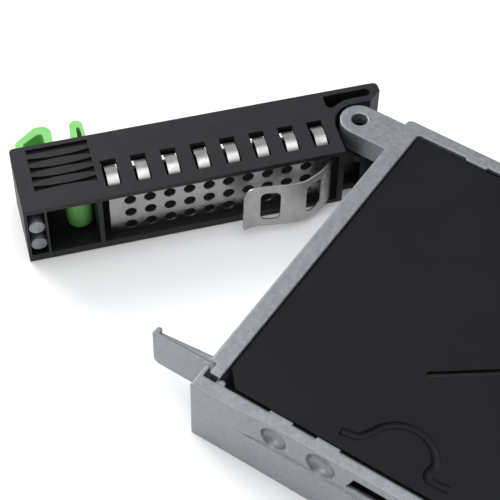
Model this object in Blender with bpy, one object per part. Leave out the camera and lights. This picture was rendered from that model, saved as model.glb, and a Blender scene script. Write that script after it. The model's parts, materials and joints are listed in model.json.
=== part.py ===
"""A 2.5 inch hot-swap hard disk drive, in its die-cast carrier with the swing handle open.

Everything is drawn in millimetres in the carrier's own frame and scaled to metres as it is made.
X runs across the drive, towards the latch side. Y runs from the handle to the connector. Z is up.
The origin is the centre of the front bar's underside. Pieces of the handle are drawn where they lie
with the handle closed, and an empty on the hinge axis turns them to the open position.
"""

import math

import bmesh
import bpy
from mathutils import Matrix, Vector

MM = 0.001
GAP = 0.3
FIT = 0.15

# Carrier frame
BAR_DEPTH = 3.53
BAR_FRONT = -BAR_DEPTH / 2
BAR_REAR = BAR_DEPTH / 2
RAIL_INNER = 35.1
NEAR_RAIL_OUTER = 37.93
FAR_RAIL_OUTER = -37.6
FRAME_HEIGHT = 15.37
RAIL_END = 99.0
CHANNEL_DEPTH = 0.6
CHANNEL_LEDGE = 0.3
CHANNEL_Z = 9.1
CHANNEL_START = 8.0
CHANNEL_RAMP = 4.5
PAD_X = 34.6
PAD_Z = 14.6
PAD_STARTS = (12.6, 22.0, 60.0, 69.4)
PAD_LENGTH = 4.6
WINDOW_Y = (29.6, 41.0)
WINDOW_Z = (10.5, 13.6)
WINDOW_POINT = 1.3
RELIEF_SKIN = 1.1
RELIEF_MARGIN = 1.4
SPARE_DIMPLE_Y = 24.4
DIMPLE_RADIUS = 2.6
SPARE_DIMPLE_RADIUS = 2.9
# Steps of a dimple from its mouth to its floor: height from the rail's face, share of the radius
DIMPLE_STEPS = (
    (0.5, 1.04),
    (-0.36, 1.0),
    (-1.0, 0.92),
    (-1.5, 0.77),
    (-1.83, 0.54),
    (-1.98, 0.26),
)
PIN_SEAT = 2.15
CORNER_BUMP = (34.85, 2.6)
CORNER_BUMP_RADIUS = 0.75
CORNER_SLOT_X = (31.75, 32.95, 34.0, 35.2)
CORNER_SLOT_Y = (-0.95, -0.35)
CORNER_SLOT_FLOOR = 9.0

# Hinge
HINGE = (-32.09, -9.865)
HINGE_ARM_RADIUS = 3.88
HINGE_ARM_Z = 10.2
HINGE_HOLE_RADIUS = 1.65
HINGE_PIN_Z = (0.6, 13.6)
HINGE_PIN_BORE = 1.0
OPEN_ANGLE = math.radians(-41.44)

# Catch arm at the latch side of the frame
CATCH_FACE = 31.5
CATCH_PLATE = 0.6
CATCH_TIP = -14.5
CATCH_LIP = 29.7
CATCH_LIP_DEPTH = 1.1
CATCH_Z = (4.3, 13.2)

# Handle housing, drawn closed
HANDLE_TOP = 14.96
HANDLE_BOTTOM = 0.2
HANDLE_FRONT = -19.3
HANDLE_REAR = -2.8
FREE_END = 36.3
HINGE_END = -38.6
TOP_WALL = 1.06
FLOOR = 1.0
FRONT_WALL = 1.2
END_WALL = 0.6
ARC_RADIUS = 4.85
NECK_X = -27.1
LUG_TOP = 9.8
LUG_REAR = -5.3
PARTITION = (21.2, 22.1)
DIVIDER = (31.9, 32.4)
LATCH_OPENING_X = (22.6, 31.2)
LATCH_OPENING_Z = (3.9, 12.3)
GRILLE_X = (-23.0, 19.0)
GRILLE_Z = (2.6, 12.4)
GRILLE_COLUMNS = 9
GRILLE_BAR = 1.1
GRILLE_BELT = 1.2

# Earthing fingers and their slots in the housing's top wall
FINGERS = 8
FINGER_PITCH = 5.92
FINGER_SLOT_X = 19.8
FINGER_SLOT_WIDTH = 3.05
FINGER_SLOT_Y = (-12.07, -5.4)
FINGER_WIDTH = 2.25
FINGER_INSET = 0.5
FINGER_CREST = 15.3
FINGER_ROOT_Z = 13.45
FINGER_SPRING_Z = 14.2
STRIP_THICKNESS = 0.3

# Grip grooves in the housing's top wall
GROOVE_X = (21.1, 33.2)
GROOVE_FIRST_Y = -17.62
GROOVE_PITCH = 2.38
GROOVES = 5
GROOVE_DEPTH = 0.75
GROOVE_END_WIDTH = 1.5
GROOVE_WAIST = 0.45
GROOVE_FIRST_WIDTH = 1.25

# Perforated shield behind the front grille
SHIELD_Y = -4.97
SHIELD_X = (-24.6, 19.6)
SHIELD_Z = (1.5, 12.9)
SHIELD_THICKNESS = 0.3
SHIELD_HOLE_X = 15.5
SHIELD_HOLE_PITCH = 3.93
SHIELD_COLUMNS = 10
SHIELD_ROWS = (10.2, 6.65, 3.1)
SHIELD_HOLE_RADIUS = 1.18

# Leaf spring: the middle of its steel strip, from the anchor to the tip, with the handle closed
LEAF_LINE = (
    (-25.4, -4.35),
    (-24.2, -2.9),
    (-22.0, -1.05),
    (-19.7, 0.25),
    (-17.6, 1.05),
    (-15.0, 1.1),
    (-12.0, 0.75),
    (-8.8, 0.35),
    (-7.0, 0.45),
    (-5.6, 0.85),
)
LEAF_THICKNESS = 0.3
LEAF_Z = (1.4, 12.9)
LEAF_WINDOWS_X = ((-21.4, -18.3), (-12.7, -8.7))
LEAF_WINDOW_Z = (3.3, 11.1)

# Latch, finger rest and light pipes
PULL_Z = (4.6, 12.0)
PULL_FRONT = -26.6
LOOP_BAR = 1.3
BARREL = (24.9, -10.45)
BARREL_RADIUS = 2.65
STEM_X = (28.7, 29.3)
TOOTH_X = 30.1
TOOTH_Y = (-13.1, -11.7)
LATCH_SPRING_Y = -16.0
LATCH_SPRING_Z = 8.2
LATCH_SPRING_X = (24.35, 28.4)
LATCH_SPRING_TURNS = 4
LATCH_SPRING_RADIUS = 1.3
LATCH_SPRING_WIRE = 0.18
PIPE_X = 34.05
PIPE_RADIUS = 1.57
PIPE_HEIGHTS = (9.8, 4.9)
PIPE_FACE_Y = -2.9
PIPE_BRANCH_Z = 12.3
PIPE_BRANCH_RADIUS = 1.25
PIPE_BRANCH_Y = (-9.0, -5.6)

# Drive: the standard 69.85 x 100.45 mm outline, board side up
DRIVE_HALF_WIDTH = 34.925
DRIVE_FRONT = 5.15
DRIVE_LENGTH = 100.45
DRIVE_REAR = DRIVE_FRONT + DRIVE_LENGTH
SIDE_SCREW_Y = (DRIVE_REAR - 90.6, DRIVE_REAR - 14.0)
SIDE_SCREW_Z = 12.05
SIDE_PIN_RADIUS = 1.15
COVER_Z = (0.5, 1.35)
COVER_HALF_WIDTH = 34.3
COVER_REAR = 103.8
COVER_SCREWS = (
    (-31.6, 8.4),
    (31.6, 8.4),
    (-31.9, 73.0),
    (31.9, 73.0),
    (-31.6, 102.3),
    (31.6, 102.3),
)
COVER_SINK_RADIUS = 1.9
COVER_HEAD_RADIUS = 1.7
COVER_BORE_RADIUS = 1.15
COVER_SHANK_RADIUS = 0.95
COVER_SOCKET_RADIUS = 0.7
LABEL_Z = (0.3, 0.42)
LABEL_CORNERS = ((-26, 20), (26, 90))
GASKET_Z = (1.5, 1.85)
GASKET_CORNERS = ((-29.2, DRIVE_FRONT + 1.0), (29.2, 103.0))
GASKET_CORNER_RADIUS = 9.0
GASKET_WIDTH = 1.2
BASE_Z = (2.0, 14.3)
CAVITY_TOP = 11.0
BOARD_POCKET_Z = 12.0
BOARD_Z = (13.1, 13.9)
BOARD_HALF_WIDTH = 29.0
BOARD_FRONT = 46.0
BOARD_REAR = 104.8
BOARD_SCREWS = ((-26.5, 48.6), (26.5, 48.6), (-26.5, 96.0), (26.5, 96.0))
SHEET_Z = (14.45, 15.05)
SHEET_HALF_WIDTH = 34.2
SHEET_FRONT = 2.2
SHEET_REAR = 101.0
SHEET_GROOVE_DEPTH = 0.35
OMEGA_WIDTH = 1.5
OMEGA_CENTRE = (30.4, 35.1)
OMEGA_RADIUS = 6.65
SLOT_WIDTH = 1.15
SLOT_ENDS = ((12.8, 31.3), (0.6, 47.7))

# Disk stack
SPINDLE = (0.0, DRIVE_FRONT + 35.2)
PLATTER_RADIUS = 32.5
PLATTER_BORE = 10.1
PLATTER_THICKNESS = 0.8
PLATTER_Z = (8.7, 5.3)
CAVITY_RADIUS = 33.4
BAY_HALF_WIDTH = 32.0
BAY_REAR = 98.0
THREAD_END = 32.4
HUB_BORE = 8.7
HUB_RADIUS = 9.9
HUB_Z = (4.6, 10.3)
FLANGE_RADIUS = 13.0
FLANGE_Z = (9.65, 10.4)
STACK_RADIUS = 12.6
CLAMP_Z = (2.9, 3.9)
CLAMP_SCREW_CIRCLE = 5.5
CLAMP_SCREW_RADIUS = 1.2
CLAMP_SCREW_Z = (2.2, 2.75)
SHAFT_RADIUS = 2.0
SHAFT_BORE = 2.3
STATOR_POLES = 9
STATOR_POLE = ((4.0, -0.8), (8.2, -1.3), (8.2, 1.3), (4.0, 0.8))

# Head actuator, parked on the ramp
PIVOT = (-16.5, 78.0)
ARM_PARKED = math.radians(-12.4)
ARM_LENGTH = 24.0
HEAD_REACH = 34.0
ARM_LEVELS = ((4.1, 4.7), (7.1, 7.7), (9.85, 10.45))
HEAD_LEVELS = (4.75, 6.25, 7.85, 9.65)
HEAD_THICKNESS = 0.3
ARM_BORE = 2.75
BARREL_OUTER = 4.6
COIL_Z = (6.2, 7.5)
YOKE_INNER = 6.8
YOKE_OUTER = 15.0
YOKE_ANGLES = (math.radians(112), math.radians(188))
YOKE_LEVELS = (("lower_yoke", 2.9, 3.9), ("upper_yoke", 9.7, 10.8))
MAGNET_LEVELS = (("lower_magnet", 4.05, 5.5), ("upper_magnet", 8.2, 9.55))
MAGNET_INSET = 0.6
MAGNET_INSET_ANGLE = 0.05
FLEX_LINE = ((10.0, 94.0), (4.0, 95.5), (-4.0, 94.5), (-8.5, 91.0), (-9.0, 87.0), (-11.5, 83.6))
FLEX_THICKNESS = 0.25
FLEX_Z = (5.0, 9.0)
FLEX_BRACKET = ((10.4, 91.0, 4.6), (22.0, 96.5, CAVITY_TOP - 0.1))
FILTER = ((22.6, 79.0, 4.0), (31.0, 88.0, CAVITY_TOP - 0.1))

# Chips on the board's inner face, each with two corners in plan
CHIPS = (
    ("controller_chip", (-7, 66), (7, 80)),
    ("motor_driver_chip", (11, 54), (20, 63)),
)
CHIP_HEIGHT = 0.85

# Rear plug
PLUG_BODY = ((-21.5, 99.8, 8.2), (21.5, DRIVE_REAR - 0.2, 12.9))
PLUG_MOUTH = ((-20.0, 101.4, 9.2), (20.0, DRIVE_REAR + 1, 12.1))
PLUG_TONGUE = ((-18.4, 101.0, 9.9), (18.4, DRIVE_REAR - 0.8, 11.1))

COLLECTIONS = {}
MATERIALS = {}


# ---------------------------------------------------------------- scene and materials


def clear_scene():
    for item in list(bpy.data.objects):
        bpy.data.objects.remove(item, do_unlink=True)


def make_collection(name):
    collection = bpy.data.collections.new(name)
    bpy.context.scene.collection.children.link(collection)
    COLLECTIONS[name] = collection


def make_material(name, colour, roughness, metallic=0.0):
    material = bpy.data.materials.new(name)
    material.use_nodes = True
    shader = material.node_tree.nodes["Principled BSDF"]
    shader.inputs["Base Color"].default_value = (*colour, 1.0)
    shader.inputs["Roughness"].default_value = roughness
    shader.inputs["Metallic"].default_value = metallic
    material.diffuse_color = (*colour, 1.0)
    MATERIALS[name] = material


def make_materials():
    make_material("cast_metal", (0.37, 0.39, 0.40), 0.5, 1.0)
    make_material("black_plastic", (0.04, 0.04, 0.045), 0.5)
    make_material("black_sheet", (0.02, 0.02, 0.022), 0.6)
    make_material("spring_steel", (0.55, 0.54, 0.52), 0.3, 1.0)
    make_material("screw_steel", (0.45, 0.45, 0.46), 0.35, 1.0)
    make_material("green_plastic", (0.12, 0.5, 0.1), 0.4)
    make_material("clear_plastic", (0.7, 0.75, 0.8), 0.1)
    make_material("black_coat", (0.03, 0.03, 0.032), 0.4)
    make_material("aluminium", (0.6, 0.61, 0.62), 0.4, 1.0)
    make_material("disk_coating", (0.5, 0.5, 0.5), 0.05, 1.0)
    make_material("magnet_plate", (0.6, 0.6, 0.6), 0.25, 1.0)
    make_material("copper", (0.7, 0.35, 0.15), 0.4, 1.0)
    make_material("rubber", (0.02, 0.02, 0.02), 0.8)
    make_material("amber_film", (0.5, 0.25, 0.05), 0.4)
    make_material("board_green", (0.02, 0.16, 0.07), 0.45)
    make_material("chip_black", (0.02, 0.02, 0.02), 0.5)
    make_material("white_plastic", (0.75, 0.75, 0.72), 0.5)
    make_material("label_film", (0.7, 0.7, 0.7), 0.4)


def make_pivot(name, place, turn=0.0):
    """An empty on a joint's axis, turned from the way its pieces are drawn."""
    pivot = bpy.data.objects.new(name, None)
    pivot.location = (place[0] * MM, place[1] * MM, 0)
    pivot.rotation_euler.z = turn
    bpy.context.scene.collection.objects.link(pivot)
    return pivot


# ---------------------------------------------------------------- shapes


def add_mesh(name, shape):
    """A mesh object from a bmesh drawn in millimetres."""
    bmesh.ops.scale(shape, vec=(MM, MM, MM), verts=shape.verts)
    mesh = bpy.data.meshes.new(name)
    shape.to_mesh(mesh)
    shape.free()
    item = bpy.data.objects.new(name, mesh)
    COLLECTIONS["cutters"].objects.link(item)
    return item


def box(name, low, high):
    shape = bmesh.new()
    bmesh.ops.create_cube(shape, size=1.0)
    size = [b - a for a, b in zip(low, high)]
    middle = [(a + b) / 2 for a, b in zip(low, high)]
    bmesh.ops.scale(shape, vec=size, verts=shape.verts)
    bmesh.ops.translate(shape, vec=middle, verts=shape.verts)
    return add_mesh(name, shape)


def rod(name, start, end, radius, end_radius=None, sides=24):
    """A cylinder, or a cone, from one point to another."""
    start, end = Vector(start), Vector(end)
    shape = bmesh.new()
    bmesh.ops.create_cone(
        shape,
        cap_ends=True,
        segments=sides,
        radius1=radius,
        radius2=radius if end_radius is None else end_radius,
        depth=(end - start).length,
    )
    turn = Vector((0, 0, 1)).rotation_difference(end - start).to_matrix()
    bmesh.ops.rotate(shape, matrix=turn, verts=shape.verts)
    bmesh.ops.translate(shape, vec=(start + end) / 2, verts=shape.verts)
    return add_mesh(name, shape)


def turned(name, centre, rings, sides=32):
    """A solid turned about a line along X: each ring gives its place on the line and its radius."""
    y, z = centre
    shape = bmesh.new()
    loops = [
        [shape.verts.new((x, y + across, z + up)) for across, up in circle((0, 0), radius, sides)]
        for x, radius in rings
    ]
    for first, second in zip(loops, loops[1:]):
        for i in range(sides):
            j = (i + 1) % sides
            shape.faces.new((first[i], first[j], second[j], second[i]))
    for end in (loops[0], loops[-1]):
        shape.faces.new(end)
    bmesh.ops.recalc_face_normals(shape, faces=shape.faces)
    return add_mesh(name, shape)


def loft(name, low_outline, high_outline, low, high):
    """A solid between two outlines that have the same number of points."""
    shape = bmesh.new()
    bottom = [shape.verts.new((x, y, low)) for x, y in low_outline]
    top = [shape.verts.new((x, y, high)) for x, y in high_outline]
    shape.faces.new(bottom)
    shape.faces.new(top)
    for i in range(len(bottom)):
        j = (i + 1) % len(bottom)
        shape.faces.new((bottom[i], bottom[j], top[j], top[i]))
    bmesh.ops.triangulate(shape, faces=shape.faces[:])
    bmesh.ops.recalc_face_normals(shape, faces=shape.faces)
    return add_mesh(name, shape)


def plate(name, outline, low, high, holes=()):
    """A flat outline with holes, filled and given a thickness between two heights."""
    curve = bpy.data.curves.new(name, "CURVE")
    curve.dimensions = "2D"
    curve.fill_mode = "BOTH"
    curve.extrude = (high - low) / 2 * MM
    for points in (outline, *holes):
        spline = curve.splines.new("POLY")
        spline.points.add(len(points) - 1)
        for point, (x, y) in zip(spline.points, points):
            point.co = (x * MM, y * MM, 0, 1)
        spline.use_cyclic_u = True
    return from_curve(name, curve, Matrix.Translation((0, 0, (low + high) / 2 * MM)))


def from_curve(name, curve, place):
    """The curve as a closed mesh, so that it can be cut and joined."""
    guide = bpy.data.objects.new(name + "_curve", curve)
    bpy.context.scene.collection.objects.link(guide)
    bpy.context.view_layer.update()
    graph = bpy.context.evaluated_depsgraph_get()
    mesh = bpy.data.meshes.new_from_object(guide.evaluated_get(graph))
    bpy.data.objects.remove(guide, do_unlink=True)
    bpy.data.curves.remove(curve)
    shape = bmesh.new()
    shape.from_mesh(mesh)
    bmesh.ops.remove_doubles(shape, verts=shape.verts, dist=1e-7)
    bmesh.ops.transform(shape, matrix=place, verts=shape.verts)
    bmesh.ops.recalc_face_normals(shape, faces=shape.faces)
    shape.to_mesh(mesh)
    shape.free()
    mesh.name = name
    item = bpy.data.objects.new(name, mesh)
    COLLECTIONS["cutters"].objects.link(item)
    return item


def wall(name, outline, low_y, high_y, holes=()):
    """A plate that stands upright: its outline is in X and Z, and its thickness along Y."""
    item = plate(name, outline, -high_y, -low_y, holes)
    item.data.transform(Matrix.Rotation(math.pi / 2, 4, "X"))
    return item


def side_plate(name, outline, low_x, high_x):
    """A plate whose outline is in Y and Z, and whose thickness is along X."""
    item = plate(name, outline, low_x, high_x)
    item.data.transform(Matrix(((0, 0, 1, 0), (1, 0, 0, 0), (0, 1, 0, 0), (0, 0, 0, 1))))
    return item


def wire(name, points, radius, resolution=2):
    """A round wire through points, closed at both ends."""
    curve = bpy.data.curves.new(name, "CURVE")
    curve.dimensions = "3D"
    curve.bevel_depth = radius * MM
    curve.bevel_resolution = resolution
    curve.use_fill_caps = True
    spline = curve.splines.new("POLY")
    spline.points.add(len(points) - 1)
    for point, place in zip(spline.points, points):
        point.co = (*(Vector(place) * MM), 1)
    return from_curve(name, curve, Matrix())


def arc(centre, radius, start, end, steps=12):
    """Points along an arc, with both ends, angles in radians."""
    angles = [start + (end - start) * i / steps for i in range(steps + 1)]
    return [(centre[0] + radius * math.cos(a), centre[1] + radius * math.sin(a)) for a in angles]


def circle(centre, radius, steps=24):
    return arc(centre, radius, 0, 2 * math.pi * (steps - 1) / steps, steps - 1)


def rounded(low, high, radius, steps=4):
    """A rectangle with round corners."""
    (x0, y0), (x1, y1) = low, high
    quarter = math.pi / 2
    corners = (
        ((x1 - radius, y1 - radius), 0),
        ((x0 + radius, y1 - radius), 1),
        ((x0 + radius, y0 + radius), 2),
        ((x1 - radius, y0 + radius), 3),
    )
    return [
        point
        for centre, turn in corners
        for point in arc(centre, radius, quarter * turn, quarter * (turn + 1), steps)
    ]


def sector(centre, inner, outer, start, end, steps=14):
    return arc(centre, outer, start, end, steps) + arc(centre, inner, end, start, steps)


def ribbon(line, thickness):
    """The outline of a strip of even thickness along a line of points."""
    points = [Vector(p) for p in line]
    left, right = [], []
    for i, point in enumerate(points):
        along = (points[min(i + 1, len(points) - 1)] - points[max(i - 1, 0)]).normalized()
        side = Vector((-along.y, along.x)) * thickness / 2
        left.append(tuple(point + side))
        right.append(tuple(point - side))
    return left + right[::-1]


def combine(item, tools, operation):
    for tool in tools:
        modifier = item.modifiers.new(tool.name, "BOOLEAN")
        modifier.operation = operation
        modifier.object = tool
        modifier.solver = "EXACT"
        tool.hide_render = True
        tool.display_type = "WIRE"
    return item


def cut(item, *tools):
    return combine(item, tools, "DIFFERENCE")


def join(item, *tools):
    return combine(item, tools, "UNION")


def finish(item, material, pivot=None):
    """Makes a shape one of the model's pieces, and hangs it and its tools on their pivot."""
    COLLECTIONS["cutters"].objects.unlink(item)
    COLLECTIONS["hot_swap_hard_disk_drive"].objects.link(item)
    item.data.materials.clear()
    item.data.materials.append(MATERIALS[material])
    item.data.set_sharp_from_angle(angle=math.radians(35))
    item.data.shade_smooth()
    if pivot:
        tools = [modifier.object for modifier in item.modifiers if modifier.type == "BOOLEAN"]
        for part in (item, *tools):
            part.parent = pivot
            part.matrix_parent_inverse = Matrix.Translation(-pivot.location)
    return item


# ---------------------------------------------------------------- carrier


def frame_outline():
    corner, inner = 1.2, 0.8
    far_corner = (FAR_RAIL_OUTER + corner, BAR_FRONT + corner)
    inner_corner = (-RAIL_INNER + inner, BAR_REAR + inner)
    return [
        (NEAR_RAIL_OUTER, BAR_FRONT),
        (NEAR_RAIL_OUTER, RAIL_END),
        (RAIL_INNER, RAIL_END),
        (RAIL_INNER, BAR_REAR),
        *arc(inner_corner, inner, 1.5 * math.pi, math.pi, 5),
        (-RAIL_INNER, RAIL_END),
        (FAR_RAIL_OUTER, RAIL_END),
        *arc(far_corner, corner, math.pi, 1.5 * math.pi, 5),
    ]


def hinge_arm():
    left = (HINGE[0] - HINGE_ARM_RADIUS, 0.0)
    right = (HINGE[0] + HINGE_ARM_RADIUS, 0.0)
    outline = [right, left, *arc(HINGE, HINGE_ARM_RADIUS, math.pi, 2 * math.pi, 16)]
    return plate("hinge_arm", outline, HINGE_ARM_Z, FRAME_HEIGHT)


def catch_arm():
    """The latch side's forward arm: a thin plate, a tapered rib behind it and a lip at the tip."""
    root = BAR_FRONT + 1.0
    low, high = CATCH_Z
    corner = 1.2
    tip_corner = (CATCH_TIP + corner, low + corner)
    face = [(root, low), (root, high), (CATCH_TIP, high)]
    face += arc(tip_corner, corner, math.pi, 1.5 * math.pi, 5)
    arm = side_plate("catch_plate", face, CATCH_FACE - CATCH_PLATE, CATCH_FACE)
    rib = [
        (CATCH_FACE - 0.3, root),
        (CATCH_FACE - 2.3, root),
        (CATCH_FACE - 1.1, CATCH_TIP + 0.5),
        (CATCH_FACE - 0.3, CATCH_TIP + 0.5),
    ]
    lip_radius = CATCH_LIP_DEPTH / 2
    lip_middle = CATCH_TIP + lip_radius + 0.05
    lip = [
        (CATCH_FACE - 0.2, lip_middle - lip_radius),
        (CATCH_FACE - 0.2, lip_middle + lip_radius),
    ]
    lip += arc((CATCH_LIP + lip_radius, lip_middle), lip_radius, math.pi / 2, 1.5 * math.pi, 6)
    ramp = [
        (CATCH_FACE - 0.1, root + 0.5),
        (CATCH_FACE - 2.4, root + 0.5),
        (CATCH_FACE - 2.4, root - 1.4),
        (CATCH_FACE - 0.1, root - 1.4),
    ]
    return (
        arm,
        plate("catch_rib", rib, low + 0.5, high - 0.5),
        plate("catch_lip", lip, low + corner + 0.2, high - 0.1),
        plate("catch_root", ramp, low + 0.25, high + 0.3),
    )


def corner_slot():
    """The stepped slot that parts the bar's end from the near rail at the top."""
    (x0, x1, x2, x3), (y0, y1) = CORNER_SLOT_X, CORNER_SLOT_Y
    low, high = CORNER_SLOT_FLOOR, FRAME_HEIGHT + 1
    return (
        box("slot_mouth", (x0, BAR_FRONT - 1, low), (x1, y1, high)),
        box("slot_middle", (x0, y0, low), (x3, y1, high)),
        box("slot_heel", (x2, y0, low), (x3, BAR_REAR - 0.1, high)),
    )


def rail_face(side):
    """How far a rail's outer face stands from the middle: the near rail for 1, the far one for -1."""
    return NEAR_RAIL_OUTER if side > 0 else -FAR_RAIL_OUTER


def dimple(name, side, y, radius):
    """A round dish in a rail's outer face."""
    steps = [(side * (rail_face(side) + height), radius * share) for height, share in DIMPLE_STEPS]
    return turned(name, (y, SIDE_SCREW_Z), steps)


def pin_bore(name, side, y):
    """A blind bore from the rail's inner face, so that the dimple over it stays whole."""
    start, end = side * (rail_face(side) - PIN_SEAT), side * (RAIL_INNER - 1)
    return rod(name, (start, y, SIDE_SCREW_Z), (end, y, SIDE_SCREW_Z), SIDE_PIN_RADIUS + FIT)


def channel_outline(depth):
    face = NEAR_RAIL_OUTER
    return [
        (face + 1, CHANNEL_START),
        (face, CHANNEL_START),
        (face - depth, CHANNEL_START + CHANNEL_RAMP),
        (face - depth, RAIL_END + 1),
        (face + 1, RAIL_END + 1),
    ]


def side_channel():
    """The recess along the near rail's upper half: it starts on a ledge and leans inwards."""
    slope = (CHANNEL_DEPTH - CHANNEL_LEDGE) / (FRAME_HEIGHT - CHANNEL_Z)
    low_outline, high_outline = channel_outline(CHANNEL_LEDGE), channel_outline(CHANNEL_DEPTH + slope)
    return loft("side_channel", low_outline, high_outline, CHANNEL_Z, FRAME_HEIGHT + 1)


def rail_window(side):
    """The slot through a rail, slanted at its ends, and the relief behind it that thins the rail."""
    tag = "near" if side > 0 else "far"
    (y0, y1), (z0, z1) = WINDOW_Y, WINDOW_Z
    outline = [(y0, z0), (y1 - WINDOW_POINT, z0), (y1, z1), (y0 + WINDOW_POINT, z1)]
    low, high = sorted((side * (RAIL_INNER - 1), side * (rail_face(side) + 1)))
    slot = side_plate(f"rail_window_{tag}", outline, low, high)
    low, high = sorted((side * (RAIL_INNER - 1), side * (rail_face(side) - RELIEF_SKIN)))
    relief = box(
        f"window_relief_{tag}",
        (low, y0 - RELIEF_MARGIN, z0 - 2 * RELIEF_MARGIN),
        (high, y1 + RELIEF_MARGIN, z1 + RELIEF_MARGIN / 2),
    )
    return slot, relief


def rail_pads():
    """Small lands that stand in from the rails' top edges and keep the sheet central."""
    pads = []
    for side in (-1, 1):
        for number, start in enumerate(PAD_STARTS):
            low, high = sorted((side * PAD_X, side * (RAIL_INNER + 0.5)))
            name = f"pad_{number}_{'near' if side > 0 else 'far'}"
            pads.append(
                box(name, (low, start, PAD_Z), (high, start + PAD_LENGTH, FRAME_HEIGHT - 0.01))
            )
    return pads


def build_carrier_frame():
    frame = plate("carrier_frame", frame_outline(), 0, FRAME_HEIGHT)
    bump = rod(
        "corner_bump",
        (*CORNER_BUMP, CORNER_SLOT_FLOOR),
        (*CORNER_BUMP, FRAME_HEIGHT - 0.1),
        CORNER_BUMP_RADIUS,
        sides=16,
    )
    join(frame, hinge_arm(), *catch_arm(), *rail_pads(), bump)
    cutters = [side_channel(), *corner_slot()]
    for side in (-1, 1):
        tag = "near" if side > 0 else "far"
        for number, y in enumerate(SIDE_SCREW_Y):
            cutters.append(dimple(f"dimple_{number}_{tag}", side, y, DIMPLE_RADIUS))
            cutters.append(pin_bore(f"pin_bore_{number}_{tag}", side, y))
        cutters.append(dimple(f"dimple_spare_{tag}", side, SPARE_DIMPLE_Y, SPARE_DIMPLE_RADIUS))
        cutters += rail_window(side)
    cutters.append(rod("hinge_bore", (*HINGE, 9), (*HINGE, 17), HINGE_HOLE_RADIUS))
    cut(frame, *cutters)
    finish(frame, "cast_metal")


def build_side_pins():
    """The plain pins that hold the drive by the screw holes in its sides."""
    for side in (-1, 1):
        tag = "near" if side > 0 else "far"
        for place, y in zip(("front", "rear"), SIDE_SCREW_Y):
            pin = rod(
                f"side_pin_{tag}_{place}",
                (side * (rail_face(side) - PIN_SEAT - 0.05), y, SIDE_SCREW_Z),
                (side * (THREAD_END + GAP), y, SIDE_SCREW_Z),
                SIDE_PIN_RADIUS,
            )
            finish(pin, "cast_metal")


def build_hinge_pin():
    """A rolled tube pin, set below the arm's face."""
    outer = circle(HINGE, HINGE_HOLE_RADIUS - FIT)
    bore = circle(HINGE, HINGE_PIN_BORE, 20)
    finish(plate("hinge_pin", outer, *HINGE_PIN_Z, [bore]), "black_coat")


# ---------------------------------------------------------------- handle


def handle_outline():
    """The housing's plan, with the hollow that lets the hinge arm in."""
    corner = 0.9
    free_corner = (FREE_END - corner, HANDLE_FRONT + corner)
    end_corner = (HINGE_END + corner, HANDLE_FRONT + corner)
    return [
        (FREE_END, HANDLE_REAR),
        (NECK_X, HANDLE_REAR),
        (NECK_X, HINGE[1]),
        *arc(HINGE, ARC_RADIUS, 0, -math.pi / 2, 8)[1:],
        (-36.0, HINGE[1] - ARC_RADIUS),
        (HINGE_END, -16.95),
        *arc(end_corner, corner, math.pi, 1.5 * math.pi, 4),
        *arc(free_corner, corner, 1.5 * math.pi, 2 * math.pi, 4),
    ]


def lug_outline():
    """The block under the hinge arm, kept inside the circle that clears the front bar."""
    return [
        (NECK_X + 1.2, LUG_REAR),
        *arc((HINGE[0] - 0.2, HINGE[1]), 5.0, math.radians(60), math.pi, 8),
        (-37.3, HANDLE_FRONT + 0.6),
        (NECK_X + 1.2, HANDLE_FRONT + 0.6),
    ]


def groove_outline(number):
    """A grip groove: straight for the first, and narrow-waisted between two bowed ridges after it."""
    (x0, x1), middle = GROOVE_X, GROOVE_FIRST_Y + number * GROOVE_PITCH
    if number == 0:
        half = GROOVE_FIRST_WIDTH / 2
        return [(x0, middle - half), (x1, middle - half), (x1, middle + half), (x0, middle + half)]
    steps = 10
    top, bottom = [], []
    for i in range(steps + 1):
        share = i / steps
        bow = 4 * share * (1 - share)
        half = (GROOVE_END_WIDTH + (GROOVE_WAIST - GROOVE_END_WIDTH) * bow) / 2
        x = x0 + (x1 - x0) * share
        top.append((x, middle + half))
        bottom.append((x, middle - half))
    return top + bottom[::-1]


def kidney_outline():
    """The pocket in the top wall beside the hinge hollow."""
    return [
        (-26.9, -18.05),
        (-35.8, -18.15),
        (-36.4, -17.75),
        (-36.5, -17.05),
        (-36.2, -16.4),
        (-35.6, -16.2),
        (-32.5, -16.2),
        (-30.7, -16.05),
        (-29.2, -15.3),
        (-28.3, -14.85),
        (-27.6, -14.75),
        (-27.1, -15.0),
        (-26.8, -15.6),
    ]


def finger_slots():
    slots = []
    for i in range(FINGERS):
        right = FINGER_SLOT_X - i * FINGER_PITCH
        low = (right - FINGER_SLOT_WIDTH, FINGER_SLOT_Y[0], HANDLE_TOP - TOP_WALL - 1)
        slots.append(box(f"finger_slot_{i}", low, (right, FINGER_SLOT_Y[1], HANDLE_TOP + 1)))
    return slots


def handle_cavities():
    """The hollows behind the front wall, all open to the rear."""
    low, high = HANDLE_BOTTOM + FLOOR, HANDLE_TOP - TOP_WALL
    front = HANDLE_FRONT + FRONT_WALL
    spans = (
        ("shield_bay", NECK_X + 1.2, PARTITION[0]),
        ("latch_bay", PARTITION[1], DIVIDER[0]),
        ("light_bay", DIVIDER[1], FREE_END - END_WALL),
    )
    bays = [box(name, (x0, front, low), (x1, -3.6, high)) for name, x0, x1 in spans]
    mouths = [
        box(name + "_mouth", (x0, -3.7, HANDLE_BOTTOM + 1.7), (x1, 0, high))
        for name, x0, x1 in spans
    ]
    return bays + mouths


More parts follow.
